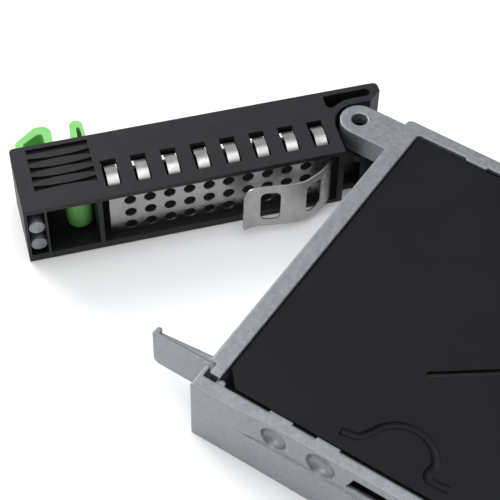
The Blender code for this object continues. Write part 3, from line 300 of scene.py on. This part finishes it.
def rolled_steel(name, colour, roughness):
    """Rolled stainless steel: faint brush lines and small smudges."""
    material, tree, shader = new_material(name, colour, roughness, 1.0)
    darker = tuple(0.85 * c for c in colour)
    vary_colour(tree, shader, noise(tree, 0.25, 4.0), darker, colour)
    vary_roughness(tree, shader, noise(tree, 0.6), roughness - 0.05, roughness + 0.08)
    add_bump(tree, shader, noise(tree, 2.0, 3.0, BRUSHING), 0.004)
    return material


def green_plastic():
    """Smooth bright green moulding that light passes into a little."""
    material, tree, shader = new_material("green_plastic", (0.23, 0.62, 0.175), 0.38)
    shader.inputs["Subsurface Weight"].default_value = 0.15
    shader.inputs["Subsurface Radius"].default_value = (0.4, 1.0, 0.3)
    shader.inputs["Subsurface Scale"].default_value = 0.001
    vary_colour(tree, shader, noise(tree, 0.2), (0.21, 0.58, 0.16), (0.25, 0.66, 0.19))
    vary_roughness(tree, shader, noise(tree, 0.8), 0.34, 0.44)
    add_bump(tree, shader, noise(tree, 3.0, 2.0), 0.005)
    return material


def clear_plastic():
    """Light pipe: a greyish clear moulding with a faintly frosted skin."""
    material, tree, shader = new_material("clear_plastic", (0.8, 0.83, 0.86), 0.2)
    streaks = noise(tree, 0.5, 2.0, (1.0, 1.0, 0.2))
    shader.inputs["Transmission Weight"].default_value = 0.35
    shader.inputs["IOR"].default_value = 1.49
    vary_colour(tree, shader, streaks, (0.17, 0.18, 0.195), (0.42, 0.435, 0.45))
    vary_roughness(tree, shader, noise(tree, 0.6), 0.2, 0.35)
    add_bump(tree, shader, noise(tree, 0.7, 2.0), 0.04)
    return material


def machined_aluminium():
    """The drive's aluminium: a fine, even machined skin."""
    material, tree, shader = new_material("aluminium", (0.6, 0.61, 0.62), 0.38, 0.95)
    vary_colour(tree, shader, noise(tree, 0.2, 4.0), (0.54, 0.55, 0.56), (0.64, 0.65, 0.66))
    vary_roughness(tree, shader, noise(tree, 0.7), 0.32, 0.46)
    add_bump(tree, shader, noise(tree, 3.0, 3.0), 0.01)
    return material


def plain(name, colour, roughness, metallic=0.0, grain=2.0, depth=0.005):
    """A small moulded or plated piece: even colour, slightly clouded, with a light grain."""
    material, tree, shader = new_material(name, colour, roughness, metallic)
    vary_colour(tree, shader, noise(tree, 0.3), tuple(0.88 * c for c in colour), colour)
    vary_roughness(tree, shader, noise(tree, 1.0), roughness * 0.85, min(1.0, roughness * 1.15))
    add_bump(tree, shader, noise(tree, grain), depth)
    return material


def make_materials():
    """Every finish by its slot's name."""
    return {
        "cast_metal": cast_metal(),
        "black_plastic": black_plastic(),
        "black_sheet": black_sheet(),
        "black_coat": black_coat(),
        "spring_steel": rolled_steel("spring_steel", (0.42, 0.415, 0.41), 0.32),
        "screw_steel": rolled_steel("screw_steel", (0.5, 0.5, 0.5), 0.35),
        "green_plastic": green_plastic(),
        "clear_plastic": clear_plastic(),
        "aluminium": machined_aluminium(),
        "disk_coating": plain("disk_coating", (0.55, 0.55, 0.56), 0.06, 1.0, 0.5, 0.0005),
        "magnet_plate": plain("magnet_plate", (0.62, 0.6, 0.56), 0.2, 1.0),
        "copper": plain("copper", (0.6, 0.25, 0.1), 0.35, 0.9, 4.0, 0.03),
        "rubber": plain("rubber", (0.02, 0.02, 0.02), 0.8),
        "amber_film": plain("amber_film", (0.45, 0.2, 0.04), 0.35),
        "board_green": plain("board_green", (0.015, 0.12, 0.05), 0.4, 0.0, 3.0, 0.01),
        "chip_black": plain("chip_black", (0.02, 0.02, 0.021), 0.5),
        "white_plastic": plain("white_plastic", (0.72, 0.72, 0.69), 0.45),
        "label_film": plain("label_film", (0.68, 0.68, 0.68), 0.35, 0.0, 1.0, 0.003),
    }


# ---------------------------------------------------------------- mesh tools


def closed_to_open():
    """Turns what is drawn with the handle closed to where the open handle holds it."""
    hinge = Vector((*HINGE, 0)) * MM
    return Matrix.Translation(hinge) @ Matrix.Rotation(OPEN_ANGLE, 4, "Z") @ Matrix.Translation(-hinge)


def link(name, data):
    """A new object in the scene for a mesh, a curve, a light or a camera."""
    item = bpy.data.objects.new(name, data)
    bpy.context.scene.collection.objects.link(item)
    return item


def body_holding(node):
    """The name of the body that carries a CAD node."""
    bodies = RECORD["behaviour"]["bodies"]
    return next(body for body, nodes in bodies.items() if node in nodes)


def stand_in(item, node, materials):
    """Makes the item the look of one CAD node, on the same body and in the same finish."""
    item.data.materials.clear()
    item.data.materials.append(materials[SLOT_OF[node]])
    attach(item, body_holding(node))
    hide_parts(node)


def press(item):
    """Gives a spring its own copy of its mesh."""
    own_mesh(item)


def flat_mesh(outline, low, high, holes=()):
    """A closed mesh, in millimetres: an outline with holes, filled between two heights."""
    curve = bpy.data.curves.new("outline", "CURVE")
    curve.dimensions = "2D"
    curve.fill_mode = "BOTH"
    curve.extrude = (high - low) / 2
    for points in (outline, *holes):
        spline = curve.splines.new("POLY")
        spline.points.add(len(points) - 1)
        for point, (x, y) in zip(spline.points, points):
            point.co = (x, y, 0, 1)
        spline.use_cyclic_u = True
    shape = mesh_of(curve)
    bmesh.ops.translate(shape, vec=(0, 0, (low + high) / 2), verts=shape.verts)
    return shape


def wire_mesh(points, radius, resolution):
    """A closed mesh, in millimetres: a round wire through points."""
    curve = bpy.data.curves.new("wire", "CURVE")
    curve.dimensions = "3D"
    curve.bevel_depth = radius
    curve.bevel_resolution = resolution
    curve.use_fill_caps = True
    spline = curve.splines.new("POLY")
    spline.points.add(len(points) - 1)
    for point, place in zip(spline.points, points):
        point.co = (*place, 1)
    return mesh_of(curve)


def mesh_of(curve):
    """A curve's shape as a closed mesh. The curve is removed."""
    guide = link("guide", curve)
    bpy.context.view_layer.update()
    graph = bpy.context.evaluated_depsgraph_get()
    mesh = bpy.data.meshes.new_from_object(guide.evaluated_get(graph))
    bpy.data.objects.remove(guide)
    bpy.data.curves.remove(curve)
    shape = bmesh.new()
    shape.from_mesh(mesh)
    bpy.data.meshes.remove(mesh)
    bmesh.ops.remove_doubles(shape, verts=shape.verts, dist=1e-4)
    bmesh.ops.recalc_face_normals(shape, faces=shape.faces)
    return shape


def to_object(name, shape, place=None):
    """The shape, drawn in millimetres, as an object in metres."""
    bmesh.ops.scale(shape, vec=(MM, MM, MM), verts=shape.verts)
    if place:
        bmesh.ops.transform(shape, matrix=place, verts=shape.verts)
    mesh = bpy.data.meshes.new(name)
    shape.to_mesh(mesh)
    shape.free()
    mesh.shade_smooth()
    mesh.set_sharp_from_angle(angle=math.radians(SMOOTH_ANGLE))
    return link(name, mesh)


def merge_flats(item):
    """Joins the triangles of every flat face, so that an edge's rounding isn't held back by them."""
    weld(item)
    flats = item.modifiers.new("flats", "DECIMATE")
    flats.decimate_type = "DISSOLVE"
    flats.angle_limit = math.radians(0.5)


def weld(item):
    """Merges an item's doubled vertices."""
    modifier = item.modifiers.new("weld", "WELD")
    modifier.merge_threshold = 1e-6


def soften(item, width, segments=3, angle=32):
    """Rounds an item's edges, without touching its own mesh. Angle is the least turn of an edge."""
    weld(item)
    bevel = item.modifiers.new("edges", "BEVEL")
    bevel.width = width * MM
    bevel.segments = segments
    bevel.limit_method = "ANGLE"
    bevel.angle_limit = math.radians(angle)
    bevel.harden_normals = True
    bevel.miter_outer = "MITER_ARC"


def carve(item, tool):
    """Cuts the tool out of the item, and removes the tool."""
    modifier = item.modifiers.new("carve", "BOOLEAN")
    modifier.operation = "DIFFERENCE"
    modifier.object = tool
    modifier.solver = "EXACT"
    modifier.use_self = True
    bpy.context.view_layer.update()
    graph = bpy.context.evaluated_depsgraph_get()
    mesh = bpy.data.meshes.new_from_object(item.evaluated_get(graph))
    item.modifiers.clear()
    item.data = mesh
    bpy.data.objects.remove(tool)


def append(whole, part):
    """Adds a shape to another, and frees it."""
    mesh = bpy.data.meshes.new("part")
    part.to_mesh(mesh)
    part.free()
    whole.from_mesh(mesh)
    bpy.data.meshes.remove(mesh)


def upright(shape, y):
    """Stands a flat shape up: what was drawn in X and Y faces along Y, with its top face at y."""
    turn = Matrix.Translation((0, y, 0)) @ Matrix.Rotation(math.pi / 2, 4, "X")
    bmesh.ops.transform(shape, matrix=turn, verts=shape.verts)


def arc(centre, radius, start, end, steps):
    """Points along an arc, with both ends, angles in radians."""
    angles = [start + (end - start) * i / steps for i in range(steps + 1)]
    return [(centre[0] + radius * math.cos(a), centre[1] + radius * math.sin(a)) for a in angles]


def circle(centre, radius, steps):
    return arc(centre, radius, 0, 2 * math.pi * (steps - 1) / steps, steps - 1)


def rounded(low, high, radii, steps=6):
    """A rectangle with round corners, their radii in turn from the top right one."""
    (x0, y0), (x1, y1) = low, high
    quarter = math.pi / 2
    signs = ((x1, y1, -1, -1), (x0, y1, 1, -1), (x0, y0, 1, 1), (x1, y0, -1, 1))
    points = []
    for turn, ((x, y, sx, sy), radius) in enumerate(zip(signs, radii)):
        centre = (x + sx * radius, y + sy * radius)
        points += arc(centre, radius, quarter * turn, quarter * (turn + 1), steps)
    return points


def smooth_line(points, steps=12):
    """A smooth line through the points: Catmull-Rom, with both ends held."""
    ends = [Vector(p) for p in (points[0], *points, points[-1])]
    line = []
    for a, b, c, d in zip(ends, ends[1:], ends[2:], ends[3:]):
        square, cube = 2 * a - 5 * b + 4 * c - d, 3 * b - a - 3 * c + d
        for i in range(steps):
            t = i / steps
            line.append(0.5 * (2 * b + (c - a) * t + square * t**2 + cube * t**3))
    return [*line, ends[-1]]


def bend_along(shape, line):
    """Bends a flat shape: its X runs along the line, its Y stays upright and its Z is across."""
    lengths = [0.0]
    for a, b in zip(line, line[1:]):
        lengths.append(lengths[-1] + (b - a).length)
    for vert in shape.verts:
        s = min(max(vert.co.x, 0.0), lengths[-1])
        i = next((k for k in range(1, len(lengths)) if lengths[k] >= s), len(lengths) - 1)
        along = (line[i] - line[i - 1]).normalized()
        spot = line[i - 1] + along * (vert.co.x - lengths[i - 1])
        side = Vector((-along.y, along.x)) * vert.co.z
        vert.co = (spot.x + side.x, spot.y + side.y, vert.co.y)


def length_of(line):
    """How long a line of points is."""
    return sum((b - a).length for a, b in zip(line, line[1:]))


def slice_along(shape, length, step):
    """Cuts a flat shape across its X, so that it can bend smoothly."""
    for i in range(1, int(length / step) + 1):
        faces = shape.faces[:] + shape.edges[:] + shape.verts[:]
        bmesh.ops.bisect_plane(shape, geom=faces, plane_co=(i * step, 0, 0), plane_no=(1, 0, 0))


# ---------------------------------------------------------------- handle pieces


def make_leaf_spring(materials):
    """The bowed contact spring: a windowed steel strip bent to its line."""
    line = smooth_line(LEAF_LINE)
    length = length_of(line)
    low, high = LEAF_Z
    outline = rounded((0, low), (length, high), LEAF_CORNERS)
    z0, z1 = LEAF_WINDOW_Z
    windows = [rounded((x0, z0), (x1, z1), (LEAF_WINDOW_CORNER,) * 4) for x0, x1 in LEAF_WINDOWS]
    half = LEAF_THICKNESS / 2
    shape = flat_mesh(outline, -half, half, windows)
    slice_along(shape, length, LEAF_STEP)
    bend_along(shape, line)
    leaf = to_object("leaf_spring_steel", shape, closed_to_open())
    stand_in(leaf, "leaf_spring", materials)
    press(leaf)


def finger_line():
    """A finger's middle line in Y and Z: a short foot at the strip, then an arch to the free end."""
    half = (FINGER_REAR - FINGER_FRONT) / 2
    rise = FINGER_CREST - STRIP_THICKNESS / 2 - FINGER_SPRING_Z
    steps = 16
    line = [Vector((FINGER_REAR + back, FINGER_ROOT_Z + up)) for back, up in FINGER_FOOT]
    for i in range(steps + 1):
        share = 2 * i / steps - 1
        y, z = FINGER_REAR - half * (1 + share), FINGER_SPRING_Z + rise * (1 - share * share)
        line.append(Vector((y, z)))
    return line


def make_fingers(materials):
    """The earthing strip and its eight arched fingers."""
    line = finger_line()
    length = length_of(line)
    half = STRIP_THICKNESS / 2
    whole = bmesh.new()
    for i in range(FINGERS):
        right = FINGER_RIGHT - i * FINGER_PITCH
        outline = rounded((0, right - FINGER_WIDTH), (length, right), FINGER_CORNERS, 3)
        finger = flat_mesh(outline, -half, half)
        slice_along(finger, length, FINGER_STEP)
        bend_along(finger, line)
        for vert in finger.verts:
            y, z, x = vert.co
            vert.co = (x, y, z)
        append(whole, finger)
    (x0, x1), (y0, y1) = STRIP_X, STRIP_Y
    outline = rounded((x0, y0), (x1, y1), (STRIP_CORNER,) * 4, 2)
    append(whole, flat_mesh(outline, FINGER_ROOT_Z - half, FINGER_ROOT_Z + half))
    bmesh.ops.recalc_face_normals(whole, faces=whole.faces)
    fingers = to_object("contact_fingers", whole, closed_to_open())
    stand_in(fingers, "contact_finger_strip", materials)


def make_latch_spring(materials):
    """The coil that pushes the latch back, as a round wire."""
    (x0, x1), (y, z) = COIL_X, COIL_AXIS
    count = COIL_TURNS * COIL_STEPS
    points = []
    for i in range(count + 1):
        angle = 2 * math.pi * i / COIL_STEPS
        across, up = COIL_RADIUS * math.cos(angle), COIL_RADIUS * math.sin(angle)
        points.append((x0 + (x1 - x0) * i / count, y + across, z + up))
    coil = to_object("latch_coil", wire_mesh(points, COIL_WIRE, 3), closed_to_open())
    stand_in(coil, "latch_spring", materials)
    press(coil)


def make_shield(materials):
    """The perforated shield, with true round holes."""
    (x0, x1), (z0, z1) = SHIELD_X, SHIELD_Z
    holes = [
        circle((SHIELD_HOLE_X - column * SHIELD_HOLE_PITCH, z), SHIELD_HOLE_RADIUS, 28)
        for z in SHIELD_ROWS
        for column in range(SHIELD_COLUMNS)
    ]
    shape = flat_mesh([(x0, z0), (x1, z0), (x1, z1), (x0, z1)], 0, SHIELD_THICKNESS, holes)
    upright(shape, SHIELD_Y)
    shield = to_object("perforated_shield", shape, closed_to_open())
    soften(shield, SHIELD_EDGE, segments=2, angle=60)
    stand_in(shield, "emi_shield", materials)


# ---------------------------------------------------------------- sheet


def channel_cutter():
    """A round bar along the ring channel's line, that dips into the sheet by the channel's depth."""
    ring = arc(CHANNEL_CENTRE, CHANNEL_RADIUS, *CHANNEL_ANGLES, 24)
    line = smooth_line([*CHANNEL_NEAR_FOOT, *ring, *CHANNEL_FAR_FOOT], 4)
    radius = ((CHANNEL_WIDTH / 2) ** 2 + CHANNEL_DEPTH**2) / (2 * CHANNEL_DEPTH)
    height = SHEET_Z[1] - CHANNEL_DEPTH + radius
    return wire_mesh([(x, y, height) for x, y in line], radius, 6)


def make_sheet(materials):
    """The black sheet: a film with a pressed ring channel and a slot right through it."""
    half, (front, rear) = SHEET_HALF_WIDTH, SHEET_Y
    across, along = SHEET_CHAMFER
    outline = [(half, front + along), (half, rear), (-half, rear), (-half, front), (half - across, front)]
    start, end = (Vector(p) for p in SLOT_ENDS)
    turn = math.atan2(end.y - start.y, end.x - start.x)
    quarter = math.pi / 2
    slot = arc(start, SLOT_WIDTH / 2, turn + quarter, turn + 3 * quarter, 10)
    slot += arc(end, SLOT_WIDTH / 2, turn - quarter, turn + quarter, 10)
    sheet = to_object("film_sheet", flat_mesh(outline, *SHEET_Z, [slot]))
    carve(sheet, to_object("channel_bar", channel_cutter()))
    soften(sheet, SHEET_EDGE, angle=14)
    stand_in(sheet, "insulator_sheet", materials)


# ---------------------------------------------------------------- carried-over pieces


def finish_cad_nodes(materials):
    """Every CAD piece that is still shown gets its finish, and the larger ones rounded edges."""
    for name, node in frame["nodes"].items():
        if node.hide_render:
            continue
        node.data.materials.clear()
        node.data.materials.append(materials[SLOT_OF[name]])
        if name == "carrier_frame":
            merge_flats(node)
        if name in EDGES:
            soften(node, EDGES[name])


# ---------------------------------------------------------------- stage


def make_floor():
    """A wide white floor under the object."""
    material, tree, shader = new_material("studio_floor", (1.0, 1.0, 1.0), 0.8)
    add_bump(tree, shader, noise(tree, 0.05), 0.01)
    mesh = bpy.data.meshes.new("floor")
    shape = bmesh.new()
    bmesh.ops.create_grid(shape, x_segments=1, y_segments=1, size=FLOOR_HALF_SIDE)
    shape.to_mesh(mesh)
    shape.free()
    mesh.materials.append(material)
    link("floor", mesh)


def make_light(name, place, size, power):
    """A square area light that faces the object."""
    data = bpy.data.lights.new(name, "AREA")
    data.shape = "SQUARE"
    data.size = size
    data.energy = power
    light = link(name, data)
    light.location = place
    aim = Vector(LIGHTS_TARGET) - Vector(place)
    light.rotation_euler = aim.to_track_quat("-Z", "Y").to_euler()


def make_world():
    """A pale room, brighter towards the handle's side, that shows plain white behind the object."""
    world = bpy.data.worlds.new("studio")
    world.use_nodes = True
    tree = world.node_tree
    room = tree.nodes["Background"]
    room.inputs["Color"].default_value = (0.95, 0.97, 1.0, 1.0)
    place = tree.nodes.new("ShaderNodeTexCoord")
    parts = tree.nodes.new("ShaderNodeSeparateXYZ")
    tree.links.new(place.outputs["Generated"], parts.inputs["Vector"])
    glow = between(tree, parts.outputs["Y"], ROOM_FRONT, ROOM_REAR, -1.0, 1.0)
    tree.links.new(glow, room.inputs["Strength"])
    backdrop = tree.nodes.new("ShaderNodeBackground")
    backdrop.inputs["Color"].default_value = (1.0, 1.0, 1.0, 1.0)
    rays = tree.nodes.new("ShaderNodeLightPath")
    mix = tree.nodes.new("ShaderNodeMixShader")
    tree.links.new(rays.outputs["Is Camera Ray"], mix.inputs[0])
    tree.links.new(room.outputs["Background"], mix.inputs[1])
    tree.links.new(backdrop.outputs["Background"], mix.inputs[2])
    tree.links.new(mix.outputs["Shader"], tree.nodes["World Output"].inputs["Surface"])
    bpy.context.scene.world = world


def make_camera():
    """The camera, turned to its azimuth, elevation and roll."""
    data = bpy.data.cameras.new("camera")
    data.sensor_width = CAMERA_SENSOR
    data.lens = CAMERA_LENS
    data.clip_start = 0.01
    camera = link("camera", data)
    a, e, r = CAMERA_AZIMUTH, CAMERA_ELEVATION, CAMERA_ROLL
    back = Vector((math.sin(a) * math.cos(e), -math.cos(a) * math.cos(e), math.sin(e)))
    level = Vector((math.cos(a), math.sin(a), 0))
    upward = back.cross(level)
    right = level * math.cos(r) + upward * math.sin(r)
    up = upward * math.cos(r) - level * math.sin(r)
    turn = Matrix((right, up, back)).transposed().to_4x4()
    camera.matrix_world = Matrix.Translation(Vector(CAMERA_PLACE) * MM) @ turn
    bpy.context.scene.camera = camera


def set_film():
    """Plain, unfiltered colour, so that a white floor stays white."""
    bpy.context.scene.view_settings.view_transform = "Standard"
    bpy.context.scene.view_settings.look = "None"


def main():
    make_camera()
    set_film()
    for light in LIGHTS:
        make_light(*light)
    make_world()
    make_floor()
    materials = make_materials()
    make_leaf_spring(materials)
    make_fingers(materials)
    make_latch_spring(materials)
    make_shield(materials)
    make_sheet(materials)
    finish_cad_nodes(materials)


main()
